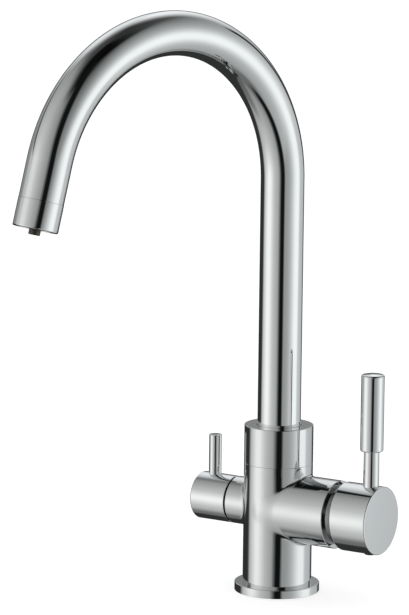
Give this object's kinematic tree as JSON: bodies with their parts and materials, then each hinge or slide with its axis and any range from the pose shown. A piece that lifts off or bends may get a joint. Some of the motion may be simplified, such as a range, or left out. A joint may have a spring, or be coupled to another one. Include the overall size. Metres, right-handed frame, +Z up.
{
  "type": "three way filtered water tap",
  "caption": "Tall swivel-spout kitchen tap with a side lever for mixed hot and cold water and an opposite pin lever for filtered water.",
  "frame": {"origin": "centre of the flange's underside, on the body's upright axis, where the tap stands on the worktop", "axes": "+Z up along the body, +X along the mixer arm (the filter arm is -X), -Y straight ahead towards the user; at rest the spout is swung 15 degrees from -Y towards -X"},
  "size_m": [0.131, 0.2168, 0.3467],
  "materials": {
    "chrome": "polished mirror chrome plate on brass",
    "brass": "machined, unplated",
    "steel": "stainless, plain",
    "rubber": "smooth black EPDM",
    "ceramic": "lapped alumina",
    "white_plastic": "natural white, satin",
    "cartridge_plastic": "dark grey glass-filled, satin",
    "black_plastic": "black, satin",
    "nozzle_bronze": "dark bronze, satin"
  },
  "bodies": {
    "tap_body": {"base_flange": "chrome", "base_seal": "rubber", "body_casting": "chrome", "spout_collar": "chrome", "swivel_ring": "white_plastic", "cartridge_base": "cartridge_plastic", "cartridge_port_seals": "rubber", "fixed_mixing_disc": "ceramic", "cartridge_housing": "cartridge_plastic", "cartridge_nut": "brass", "cartridge_dome": "chrome", "filter_valve_body": "brass", "filter_seat_seal": "rubber", "filter_fixed_disc": "ceramic"},
    "spout": {"spout_tube": "chrome", "spout_tail": "brass", "spout_o_rings": "rubber", "swivel_washer": "white_plastic", "filtered_water_line": "white_plastic", "filtered_line_plug": "brass", "line_plug_o_ring": "rubber", "outlet_adapter": "brass", "outlet_sleeve": "chrome", "aerator_washer": "rubber", "aerator_screen": "steel", "aerator_body": "cartridge_plastic", "filtered_nozzle": "nozzle_bronze"},
    "mixer_carrier": {"cartridge_carrier": "cartridge_plastic", "carrier_o_ring": "rubber", "lever_pivot_pin": "steel"},
    "mixing_disc": {"moving_mixing_disc": "ceramic", "disc_driver": "cartridge_plastic"},
    "mixer_handle": {"cartridge_lever": "brass", "mixer_knob": "chrome", "knob_grub_screw": "steel", "knob_screw_plug": "black_plastic", "mixer_lever_stem": "chrome", "mixer_lever_grip": "chrome"},
    "filter_handle": {"filter_spindle": "brass", "filter_moving_disc": "ceramic", "spindle_o_rings": "rubber", "spindle_clip": "steel", "filter_knob": "chrome", "filter_pin_lever": "chrome"}
  },
  "joints": [
    {"name": "spout_swivel", "type": "hinge", "parent": "tap_body", "child": "spout", "pos_m": [0, 0, 0.09], "axis": [0, 0, 1], "continuous": true},
    {"name": "mixer_temperature", "type": "hinge", "parent": "tap_body", "child": "mixer_carrier", "pos_m": [0.04302, 0, 0.0505], "axis": [1, 0, 0], "range_deg": [-45, 45]},
    {"name": "mixer_flow", "type": "hinge", "parent": "mixer_carrier", "child": "mixer_handle", "pos_m": [0.04302, 0, 0.0505], "axis": [0, 1, 0], "range_deg": [0, 12]},
    {"name": "mixing_disc_slide", "type": "slide", "parent": "mixer_carrier", "child": "mixing_disc", "axis": [0, 0, 1], "range_m": [0, 0.00315]},
    {"name": "filter_turn", "type": "hinge", "parent": "tap_body", "child": "filter_handle", "pos_m": [-0.03, 0, 0.0505], "axis": [1, 0, 0], "range_deg": [0, 90]}
  ],
  "couplings": [
    {"joint": "mixing_disc_slide", "follows": "mixer_flow", "m_per_rad": 0.015}
  ]
}
